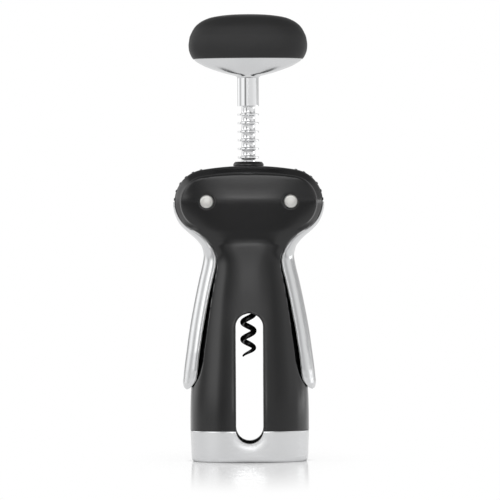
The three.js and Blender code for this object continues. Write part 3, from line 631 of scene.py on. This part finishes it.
def shell_patch():
    """Right half of the front shell. Each row is a closed loop that leaves the window's edge or the middle line,
    runs over the face to the body's edge, back along the side to the parting plane, in to the bore and out again
    through the window's wall. The face is the superellipse depth less a drop near the edge and a rounding by the
    window. The drop is a sloped band behind a small step on the head, and a steep flank beside the lever."""
    stretches = body_edge()
    edge = np.vstack(stretches)
    count = [len(s) for s in stretches]
    stretch = np.repeat(np.arange(4), count)
    walked = walk(edge)
    lip = count[0] + count[1] - 1
    over = np.clip((walked - walked[lip]) / (walked[-1] - walked[lip]), 0, 1)
    share = walked / walked[lip]
    trunk = (1 - ROW_TILT) * edge[:, 1] + ROW_TILT * (edge[0, 1] + share * (edge[lip, 1] - edge[0, 1]))
    middle = np.where(over > 0, edge[lip, 1] + (ARCH_MEETS - edge[lip, 1]) * over, trunk)
    above = np.clip(middle - (WINDOW_HIGH - WINDOW_HALF), 0, None)
    window = np.sqrt(np.clip(WINDOW_HALF**2 - above**2, 0, None))
    start = np.stack([window, middle], 1)
    x, z, from_window, length, band = shell_grid(edge, start, walked, lip)

    # Drop of the face
    nearest = distance_to(x, z, evenly(edge[count[0]:], 900))
    nearest[:, -1] = np.where(stretch > 0, 0, nearest[:, -1])
    depth = depth_at(x, z)
    sloped = at_table(nearest / band, BAND_DROP)
    head = smooth(np.clip(over / 0.12, 0, 1))[:, None]
    fall = np.clip(1 - nearest / at_table(z, FLANK), 0, 1)
    flank = np.clip(depth[:, -1:] - RIM_THICKNESS, 0, None) * (1 - (1 - fall)**2.5)**1.5
    flank = flank * np.clip((z - FLANK_FROM) / FLANK_FADE, 0, 1)
    front = depth - head * sloped - (1 - head) * flank
    by_window = np.where(start[:, :1] > 0, from_window, np.inf)
    front = front - 0.3 * np.clip(1 - by_window / 0.5, 0, 1)**2 - 0.3 * np.clip(1 - by_window / 1.8, 0, 1)**2
    front = np.maximum(front, np.where(over > 0, SLOT + 0.3, PARTING)[:, None])
    face = np.stack([x, -front, z], 2)

    # Side, parting plane, bore and window wall
    rim_back = np.where((over > 0) & (edge[:, 0] > SLOT_FROM), SLOT, PARTING)[:, None]
    t = np.linspace(0, 1, 6)[1:]
    back = front[:, -1:] * (1 - t) + rim_back * t
    side = np.stack([np.repeat(edge[:, :1], len(t), 1), -back, np.repeat(edge[:, 1:], len(t), 1)], 2)
    ledge = np.where(over > 0, HEAD_LEDGE, TRUNK_LEDGE) / length
    ledge_x, ledge_z = (edge + (start - edge) * ledge[:, None]).T
    step = np.stack([ledge_x, -rim_back[:, 0], ledge_z], 1)[:, None, :]
    step_in = np.stack([ledge_x, -np.where(over > 0, SLOT, PARTING), ledge_z], 1)[:, None, :]
    bore, t_bore = at_table(middle, BORE)[:, None], np.linspace(0, 1, 10)
    first = np.arcsin(np.clip(window[:, None] / bore, 0, 1))
    turn = math.pi / 2 + (first - math.pi / 2) * t_bore
    bore_y = np.where(over[:, None] > 0, SLOT, np.maximum(bore * np.cos(turn), PARTING))
    bore_x = bore * np.sin(turn) * (1 - over[:, None])
    hole = np.stack([bore_x, -bore_y, np.repeat(middle[:, None], len(t_bore), 1)], 2)
    loop = np.concatenate([face, side, step, step_in, hole], 1)
    points, faces = surface(loop)
    columns = loop.shape[1]
    wall = np.flatnonzero(window[1:] > 1e-6) * columns
    wall = np.stack([wall + columns - 1, wall, wall + columns, wall + 2 * columns - 1], 1)
    return points, faces.tolist() + wall.tolist() + [list(range(columns))]


def make_shells():
    """Front and rear shell, with the pins' recesses, rooms for the gears to turn in and the collar's hole."""
    right = shell_patch()
    gear_room = turned([[0, -GEAR_ROOM_WIDTH], [GEAR_ROOM_RADIUS, -GEAR_ROOM_WIDTH],
                        [GEAR_ROOM_RADIUS, GEAR_ROOM_WIDTH], [0, GEAR_ROOM_WIDTH]])
    collar_hole = turned([[0, COLLAR_HOLE_FROM], [COLLAR_HOLE, COLLAR_HOLE_FROM], [COLLAR_HOLE, COLLAR_HOLE_TO],
                          [0, COLLAR_HOLE_TO]])
    rooms = [along_y(gear_room, side * PIVOT_X, PIVOT_Z, 1) for side in (1, -1)] + [collar_hole]
    recess = turned(rounded([[0, RECESS_SEAT], [RECESS_RADIUS, RECESS_SEAT], [RECESS_RADIUS, RECESS_LIP],
                             [RECESS_RADIUS + RECESS_MOUTH, RECESS_END], [0, RECESS_END]], [0, 0.05, 0.5, 0, 0]))
    for way, name, replaced in ((1, "front_shell", "front_housing"), (-1, "rear_shell", "rear_housing")):
        halves = [(p * np.array([side, way, 1.0]), f) for p, f in [right] for side in (1, -1)]
        shell = piece(name, halves, BLACK_SHELL, "body", [replaced], crease=SHELL_CREASE)
        cut(shell, [along_y(recess, side * PIVOT_X, PIVOT_Z, -way) for side in (1, -1)], SHELL_CREASE)
        cut(shell, rooms, SHELL_CREASE)


# Levers

def lever_patch():
    """Right arm. At each share of the drop its section is half an ellipse from the inner to the outer side,
    closed by the flat inner side. Above the lip the inner side is an arc round the pivot."""
    share = np.concatenate([np.linspace(0, 0.9, 130), 0.9 + 0.1 * np.sin(np.linspace(0, math.pi / 2, 26))[1:]])
    z = PIVOT_Z - LEVER_DROP * share
    inner = np.interp(-z, -INNER_SIDE[:, 1], INNER_SIDE[:, 0])
    wrap = PIVOT_X + np.sqrt(np.clip(np.hypot(*LIP)**2 - (z - PIVOT_Z)**2, 0, None))
    inner = np.where(share < INNER[0, 1], wrap, inner)
    outer = np.interp(-z, -OUTER_SIDE[:, 1], OUTER_SIDE[:, 0])
    outer = np.maximum(outer, inner)
    width = at_table(share, ARM_WIDTH)
    turn = np.linspace(0.05, math.pi / 2, 20)
    across = np.concatenate([[0, 0, 0.008, 0.02], np.sin(turn)])
    reach = np.concatenate([[0.9, 0.975, 0.992, 0.998], np.cos(turn)])
    across = np.concatenate([across, across[-2::-1]])
    reach = np.concatenate([reach, -reach[-2::-1]])
    x = inner[:, None] + (outer - inner)[:, None] * across
    y = width[:, None] * reach
    return capped(np.stack([x, y, np.broadcast_to(z[:, None], x.shape)], 2))


def hub_patches():
    """Two cheeks and the block between them below the gear: the hub's circle joined to the lip's arc."""
    lip_radius = float(np.hypot(*LIP)) + 0.5
    outline = np.vstack([arc(PIVOT_X, PIVOT_Z, HUB_RADIUS, 0.05, 2 * math.pi + LIP_ANGLE - 0.1, 60),
                         arc(PIVOT_X, PIVOT_Z, lip_radius, LIP_ANGLE, -0.02, 24)])
    low = outline[outline[:, 1] < PIVOT_Z - GEAR_FLAT]
    return [plate(outline, -HUB_WIDTH, -GEAR_WIDTH), plate(outline, GEAR_WIDTH, HUB_WIDTH),
            plate(low, -GEAR_WIDTH - 0.1, GEAR_WIDTH + 0.1, 0.02)]


def make_levers():
    """Both levers, each its arm and its hub."""
    arm = lever_patch()
    hub = hub_patches()
    piece("right_arm", [arm] + hub, SATIN_ZINC, "right_wing", ["right_lever"], crease=50)
    piece("left_arm", [mirrored(arm)] + [mirrored(p) for p in hub], SATIN_ZINC, "left_wing",
          ["left_lever"], crease=50)


def make_pins():
    """Domed heads in the recesses of both shells, with the pin between them."""
    dome = [[PIN_RADIUS, PIN_TOP - 0.49], [2.3, PIN_TOP - 0.16], [1.2, PIN_TOP - 0.04], [0, PIN_TOP]]
    head = turned(rounded([[0, RECESS_SEAT], [PIN_RADIUS, RECESS_SEAT]] + dome, [0, 0.1, 0.25, 0.5, 0.5, 0]))
    shaft = turned([[0, -RECESS_SEAT], [SHAFT_RADIUS, -RECESS_SEAT], [SHAFT_RADIUS, RECESS_SEAT - SHAFT_GAP],
                    [0, RECESS_SEAT - SHAFT_GAP]], 48)
    for label, side in (("left", -1), ("right", 1)):
        x = side * PIVOT_X
        piece(f"{label}_pin_head", [along_y(head, x, PIVOT_Z, -1), along_y(shaft, x, PIVOT_Z, 1)], BRIGHT_STEEL,
              "body", [f"{label}_pivot_pin"])
        piece(f"{label}_pin_rear", [along_y(head, x, PIVOT_Z, 1)], BRIGHT_STEEL, "body",
              [f"{label}_pin_cap"])


# Rod, worm, collar and knob

def make_rod():
    """Stem with turned rings below it: a stepped profile with softened corners, turned about the axis."""
    foot, neck = ROD_BOTTOM + ROD_FOOT_HEIGHT, STEM_TOP - STEM_GAP
    profile = [[0, ROD_BOTTOM], [ROD_FOOT, ROD_BOTTOM], [ROD_FOOT, foot], [RING_ROOT, foot]]
    for i in range(RING_COUNT - 1, -1, -1):
        middle = TOP_RING - RING_PITCH * i
        profile += [[RING_ROOT, middle - RING_FOOT], [RING_RADIUS, middle - RING_FLAT],
                    [RING_RADIUS, middle + RING_FLAT], [RING_ROOT, middle + RING_FOOT]]
    profile += [[RING_ROOT, STEM_BOTTOM], [STEM_RADIUS, STEM_BOTTOM], [STEM_RADIUS, neck], [RING_ROOT, neck],
                [RING_ROOT, STEM_TOP + STEM_END], [0, STEM_TOP + STEM_END]]
    radii = [0.2] * 4 + [0.6, 0.14, 0.14, 0.6] * RING_COUNT + [0.5, 0.12, 0.02, 0.1, 0.1, 0.1]
    piece("stem_and_rings", [turned(rounded(profile, radii))], CHROME, "rod", ["rack_rod"])


def make_worm():
    """Wire that leaves the straight shank on a helix of growing radius and thins to the point."""
    shank_steps = 8
    top = ROD_BOTTOM - WORM_WIRE
    turns = (top - WORM_TIP) / WORM_PITCH
    done = np.linspace(0, turns, 330)
    left = turns - done
    angle = WORM_PHASE + 2 * math.pi * left
    spread = (WORM_RADIUS - WORM_WIRE) * smooth(np.clip(done / 0.75, 0, 1))
    path = np.stack([spread * np.cos(angle), spread * np.sin(angle), top - done * WORM_PITCH], 1)
    shank = np.zeros((shank_steps, 3))
    shank[:, 2] = np.linspace(ROD_BOTTOM + 9, top + 0.3, shank_steps)
    path = np.vstack([shank, path]) + np.array([WORM_ASIDE, 0, 0])
    wire = WORM_WIRE * np.minimum(1, 0.3 + 0.7 * (left / 0.7)**0.85)
    wire = np.concatenate([np.full(shank_steps, WORM_WIRE), wire])
    piece("helix", [tube(path, wire, 20)], WORM_COAT, "rod", ["worm"])


def make_collar():
    """Ring with a flange on the head and a sleeve down into it."""
    piece("collar_ring", [turned(rounded(COLLAR, 0.25))], BLACK_SHELL, "body", ["top_collar"])


def make_grip():
    """Oval sections whose width and height follow the grip's curve. Their depth is the width's share to a power,
    so that the ends stay full. The underside is flat."""
    rows = softened(evenly(curve(GRIP, 10), 84), 2)
    share, up = np.clip(rows[:, 0], 0, 1), rows[:, 1]
    a = KNOB_WIDTH * share
    b = KNOB_DEPTH * share**0.9
    n = 2 + 0.9 * share
    z = KNOB_SEAM + (KNOB_TOP - KNOB_SEAM) * up
    under = [[a[0] * k, b[0] * k, n[0], KNOB_SEAM - 0.02] for k in (0.0, 0.9)]
    piece("grip", [lofted(under + np.stack([a, b, n, z], 1).tolist(), 192)], SOFT_GRIP, "rod",
          ["knob_grip"])


def make_flare():
    """Sections from the stem's circle to the knob's oval. The front is a steep, nearly straight fan and the
    wings are shallow. The squareness rises quickly above the stem, so that they meet in a tight ridge."""
    rows = softened(evenly(curve(FLARE, 10), 110), 2)
    share, up = rows[:, 0], np.clip(rows[:, 1], 0, 1)
    a = FLARE_WIDTH * share
    b = np.minimum(FLARE_NECK + FLARE_BULGE * up**2 / (up + 0.1), a)
    n = 2 + FLARE_SQUARENESS * smooth(np.clip((share - FLARE[0, 0]) / 0.2, 0, 1)) * (1 - share)
    z = STEM_TOP + (KNOB_SEAM - STEM_TOP) * up
    body = np.stack([a, b, n, z], 1).tolist()
    top = [[a[-1] * k, b[-1] * k, n[-1], KNOB_SEAM] for k in (0.9, 0.0)]
    bottom = [[0.01, 0.01, 2, STEM_TOP - 0.15], [4.86, 4.86, 2, STEM_TOP - 0.15]]
    piece("flare", [lofted(bottom + body + top, 256)], SATIN_ZINC, "rod", ["knob_flare"])


# Base

def make_base():
    """Oval wall with a rounded foot, a flat underside in to the bottle bore, and a soft dish round the notches.
    The dish is a bell curve of the distance from the notch's edge."""
    segments = 420
    angle = np.linspace(0, 2 * math.pi, segments, endpoint=False)
    inset = [(BASE_TAPER + foot, z) for foot, z in FOOT]
    inset += [(BASE_TAPER * (1 - z / BASE_HEIGHT), z) for z in np.linspace(2.0, BASE_HEIGHT - 0.35, 36)]
    inset += [(0.08, BASE_HEIGHT - 0.1), (0.3, BASE_HEIGHT), (1.6, BASE_HEIGHT), (2.1, BASE_INSIDE)]
    rows = []
    for pull, z in inset:
        x, y = superellipse(BASE_WIDTH - pull, BASE_DEPTH - pull, BASE_SQUARENESS, angle)
        from_notch = np.hypot(x, z - (WINDOW_LOW + WINDOW_HALF)) - WINDOW_HALF
        dish = DISH_DEPTH * np.exp(-(np.clip(from_notch, 0, None) / DISH_WIDTH)**2)
        dish *= (np.abs(y) > 12) * (z > DISH_FROM and pull < 1)
        rows.append(np.stack([x, y - np.sign(y) * dish, np.full(segments, z)], 1))
    around = np.arctan2(rows[0][:, 1], rows[0][:, 0])
    bore = np.stack([GUIDE_BORE * np.cos(around), GUIDE_BORE * np.sin(around), np.zeros(segments)], 1)
    rows = [bore] + rows + [bore + np.array([0, 0, BASE_INSIDE]), bore]
    shell = piece("base_shell", [surface(np.array(rows), closed=True)], SATIN_ZINC, "foil_cutter",
                  ["foil_cutter_shell"], crease=BASE_CREASE)
    notch = np.vstack([arc(0, WINDOW_LOW + WINDOW_HALF, WINDOW_HALF, math.pi, 2 * math.pi, 72),
                       [[WINDOW_HALF, NOTCH_TOP], [-WINDOW_HALF, NOTCH_TOP]]])
    cut(shell, [plate(notch, -NOTCH_REACH, NOTCH_REACH, 0.01)], BASE_CREASE)


# Carried-over nodes

def finish_nodes():
    """Finishes for the nodes that stay as they are."""
    kept = {
        "bottle_guide": BLACK_SHELL, "foil_cutter_body": BLACK_SHELL, "knob_core": BLACK_SHELL,
        "stem_bush": WHITE_NYLON, "knob_screw": BRIGHT_STEEL, "worm_pin": BRIGHT_STEEL,
        "left_gear": DARK_STEEL, "right_gear": DARK_STEEL,
    }
    for side in ("left", "right"):
        kept.update({f"{side}_front_washer": WHITE_NYLON, f"{side}_rear_washer": WHITE_NYLON,
                     f"{side}_gear_rivet_1": BRIGHT_STEEL, f"{side}_gear_rivet_2": BRIGHT_STEEL})
    for i in range(1, 5):
        kept.update({f"cutter_wheel_{i}": BRIGHT_STEEL, f"wheel_axle_{i}": BRIGHT_STEEL})
    for name, material in kept.items():
        nodes[name].data.materials.clear()
        nodes[name].data.materials.append(material)


# Studio

def ground_distance(tree, stretch):
    """Distance from the object's axis, with X and Y multiplied by the stretch first."""
    place = tree.nodes.new("ShaderNodeTexCoord").outputs["Object"]
    scaled = node(tree, "VectorMath", {0: place, 1: stretch})
    scaled.operation = "MULTIPLY"
    reach = node(tree, "VectorMath", {0: scaled.outputs[0]})
    reach.operation = "LENGTH"
    return reach.outputs["Value"]


def make_floor():
    """White floor. Near the object it is matt, with a weak mirror image and some glow of its own, and it takes
    shadow. Past an oval round the object the camera and reflections see plain white instead, and reflections
    also a darker zone in front. The glow is left out up to the base's edge and fades in past it: a painted
    contact shadow that leaves the line of contact dark."""
    mesh = bpy.data.meshes.new("floor")
    mesh.from_pydata(FLOOR, [], [(0, 1, 2, 3)])
    floor = bpy.data.objects.new("floor", mesh)
    bpy.context.scene.collection.objects.link(floor)
    material = bpy.data.materials.new("white floor")
    material.use_nodes = True
    mesh.materials.append(material)
    tree = material.node_tree
    tree.nodes.clear()
    path = tree.nodes.new("ShaderNodeLightPath")
    camera_ray, glossy_ray = path.outputs["Is Camera Ray"], path.outputs["Is Glossy Ray"]

    # Near the object
    matt = node(tree, "BsdfDiffuse", {"Color": (0.8, 0.8, 0.8, 1)})
    gloss = node(tree, "BsdfGlossy", {"Color": (1, 1, 1, 1), "Roughness": 0.12})
    polish = maths(tree, "MULTIPLY_ADD", glossy_ray, -FLOOR_POLISH, FLOOR_POLISH)
    lit = node(tree, "MixShader", {"Fac": polish, 1: matt.outputs[0], 2: gloss.outputs[0]})
    seen_glow = maths(tree, "MULTIPLY", camera_ray, FLOOR_GLOW)
    strength = maths(tree, "MULTIPLY_ADD", glossy_ray, FLOOR_GLOW_MIRRORED, seen_glow)
    # Painted contact shadow: the glow is left out inside the base's oval and eases in just past it.
    from_base = ground_distance(tree, (1 / (BASE_WIDTH * MM), 1 / (BASE_DEPTH * MM), 0))
    strength = maths(tree, "MULTIPLY", eased(tree, from_base, *PAINTED_CONTACT_SHADOW), strength)
    glow = node(tree, "Emission", {"Strength": strength})
    near = node(tree, "AddShader", {0: lit.outputs[0], 1: glow.outputs[0]})

    # Past the oval
    place = tree.nodes.new("ShaderNodeTexCoord").outputs["Object"]
    ahead = node(tree, "SeparateXYZ", {0: place}).outputs["Y"]
    zone = maths(tree, "MULTIPLY", ranged(tree, ahead, *ZONE_NEAR_EDGE), ranged(tree, ahead, *ZONE_FAR_EDGE))
    mirrored_zone = maths(tree, "MULTIPLY", zone, glossy_ray)
    level = ranged(tree, glossy_ray, 0, 1, FAR_LEVEL, FAR_LEVEL_MIRRORED)
    level = maths(tree, "MULTIPLY_ADD", mirrored_zone, -ZONE_LOSS, level)
    white = node(tree, "Emission", {"Strength": level})
    past = eased(tree, ground_distance(tree, OVAL), *OVAL_EDGE)
    share = maths(tree, "MULTIPLY", past, maths(tree, "MAXIMUM", camera_ray, glossy_ray))
    shown = node(tree, "MixShader", {"Fac": share, 1: near.outputs[0], 2: white.outputs[0]})
    node(tree, "OutputMaterial", {"Surface": shown.outputs[0]})


# Brightness round the horizon as reflections see it: [bearing in degrees from the camera's side, right of it
# positive, level]. The lower ring lies at the horizon and the upper one above it.
LOWER_RING = [
    (-180, 1.1), (-169, 1.1), (-162, 0.35), (-148, 0.5), (-134, 1.25), (-118, 1.2), (-108, 0.85), (-98, 0.55),
    (-88, 0.6), (-78, 0.95), (-62, 1.1), (-44, 1.05), (-38, 0.5), (-33, 0.22), (-26, 0.26), (-19, 0.8),
    (-12, 0.98), (-5, 0.88), (2, 0.8), (45, 0.82), (62, 0.9), (82, 0.93), (96, 0.8), (104, 0.45),
    (121, 0.35), (132, 0.8), (142, 0.9), (152, 0.4), (162, 0.4), (169, 1.1), (180, 1.1)]
UPPER_RING = [
    (-180, 0.9), (-170, 0.9), (-163, 0.3), (-150, 0.35), (-139, 0.8), (-128, 1.5), (-112, 1.5), (-98, 0.8),
    (-88, 0.6), (-78, 0.75), (-68, 1.3), (-58, 1.75), (-42, 2.1), (-36, 0.75), (-28, 0.38), (-20, 0.45),
    (-11, 0.78), (11, 0.78), (19, 0.65), (34, 0.5), (50, 0.7), (66, 1.0), (96, 0.95), (108, 0.6), (140, 0.5),
    (150, 0.8), (162, 0.4), (170, 0.9), (180, 0.9)]

# Single boxes: left and right bearing, low and high rise, level
BOXES = [
    (-5, 4, 0.065, 0.1, 9.5), (-14, 12, 0.09, 0.19, 0.15), (-30, 24, 0.25, 0.48, 1.9),
    (-108, -66, 0.35, 0.62, 1.0), (92, 128, -0.05, 0.003, 3.6)]


def make_world():
    """White to the camera and one even grey to plain light. To reflections it is the lower ring, which passes
    into the upper one a little above the horizon, then a dim ceiling, and the single boxes. A direction's rise
    is its Z."""
    world = bpy.data.worlds.new("studio")
    bpy.context.scene.world = world
    world.use_nodes = True
    tree = world.node_tree
    tree.nodes.clear()
    place = tree.nodes.new("ShaderNodeTexCoord").outputs["Generated"]
    split = node(tree, "SeparateXYZ", {0: place})
    rise = split.outputs["Z"]
    bearing = maths(tree, "ARCTAN2", split.outputs["X"], maths(tree, "MULTIPLY", split.outputs["Y"], -1))
    round_share = ranged(tree, bearing, -math.pi, math.pi)

    def ring(stops):
        """The levels at their bearings, halved to fit a colour, with even passage between them."""
        made = node(tree, "ValToRGB", {"Fac": round_share})
        elements = made.color_ramp.elements
        while len(elements) < len(stops):
            elements.new(0.5)
        for element, (degrees, _) in zip(elements, stops):
            element.position = degrees / 360 + 0.5
        for element, (_, level) in zip(elements, stops):
            element.color = (level / 2, level / 2, level / 2, 1)
        return made.outputs["Color"]

    def product(result, *factors):
        """All of them multiplied, one after the other."""
        for factor in factors:
            result = maths(tree, "MULTIPLY", result, factor)
        return result

    def box(left, right, low, high, level):
        """Soft-edged box between two bearings and two rises."""
        left, right = math.radians(left), math.radians(right)
        across = product(eased(tree, bearing, left - BOX_BLUR, left + BOX_BLUR),
                         eased(tree, bearing, right - BOX_BLUR, right + BOX_BLUR, 1.0, 0.0))
        return product(across, eased(tree, rise, low, low + 0.03),
                       eased(tree, rise, high, high + 0.04, 1.0, 0.0), level)

    lit = product(ring(LOWER_RING), eased(tree, rise, *RING_PASSAGE, 2.0, 0.0))
    high_part = product(ring(UPPER_RING), eased(tree, rise, *RING_PASSAGE, 0.0, 2.0),
                        eased(tree, rise, *CEILING_PASSAGE, 1.0, 0.1))
    ceiling = eased(tree, rise, *CEILING_PASSAGE, 0.0, CEILING_LEVEL)
    for part in [high_part, ceiling] + [box(*sides) for sides in BOXES]:
        lit = maths(tree, "ADD", lit, part)
    path = tree.nodes.new("ShaderNodeLightPath")
    unseen = blended(tree, path.outputs["Is Glossy Ray"], (PLAIN_LIGHT, PLAIN_LIGHT, PLAIN_LIGHT, 1), lit)
    colour = blended(tree, path.outputs["Is Camera Ray"], unseen, (1, 1, 1, 1))
    back = node(tree, "Background", {"Color": colour})
    node(tree, "OutputWorld", {"Surface": back.outputs[0]})


def soft_box(name, place, size, power):
    """A rectangular lamp aimed at the middle of the body, which reflections don't see."""
    lamp = bpy.data.lights.new(name, "AREA")
    lamp.shape = "RECTANGLE"
    lamp.size, lamp.size_y = size
    lamp.energy = power
    holder = bpy.data.objects.new(name, lamp)
    bpy.context.scene.collection.objects.link(holder)
    holder.location = place
    aim = Vector((0, 0, 0.1)) - Vector(place)
    holder.rotation_euler = aim.to_track_quat("-Z", "Y").to_euler()
    holder.visible_glossy = False


def make_lights():
    """Soft boxes to the left, right and front, and one above."""
    soft_box("left box", (-1.25, -0.42, 0.25), (0.3, 1.0), 2.6)
    soft_box("right box", (1.2, -0.9, 0.5), (0.6, 0.9), 3.2)
    soft_box("front box", (0.05, -2.3, 0.42), (0.5, 0.5), 3.2)
    soft_box("high box", (0, -1.5, 1.0), (1.2, 0.5), 3.0)


def make_camera():
    """Level camera along Y at the height where the photograph shows no tilt, with its slight roll. Its picture
    is FRAME_WIDTH wide at the object's axis."""
    camera = bpy.data.cameras.new("camera")
    camera.sensor_width = SENSOR_WIDTH
    camera.lens = SENSOR_WIDTH * CAMERA_DISTANCE / FRAME_WIDTH
    camera.clip_end = 20
    holder = bpy.data.objects.new("camera", camera)
    bpy.context.scene.collection.objects.link(holder)
    holder.location = (CAMERA_ASIDE * MM, -CAMERA_DISTANCE * MM, CAMERA_HEIGHT * MM)
    holder.rotation_euler = (math.pi / 2, math.radians(CAMERA_ROLL), 0)
    bpy.context.scene.camera = holder


make_camera()
make_shells()
make_levers()
make_pins()
make_rod()
make_worm()
make_collar()
make_grip()
make_flare()
make_base()
finish_nodes()
make_floor()
make_world()
make_lights()
bpy.context.scene.view_settings.view_transform = "Standard"
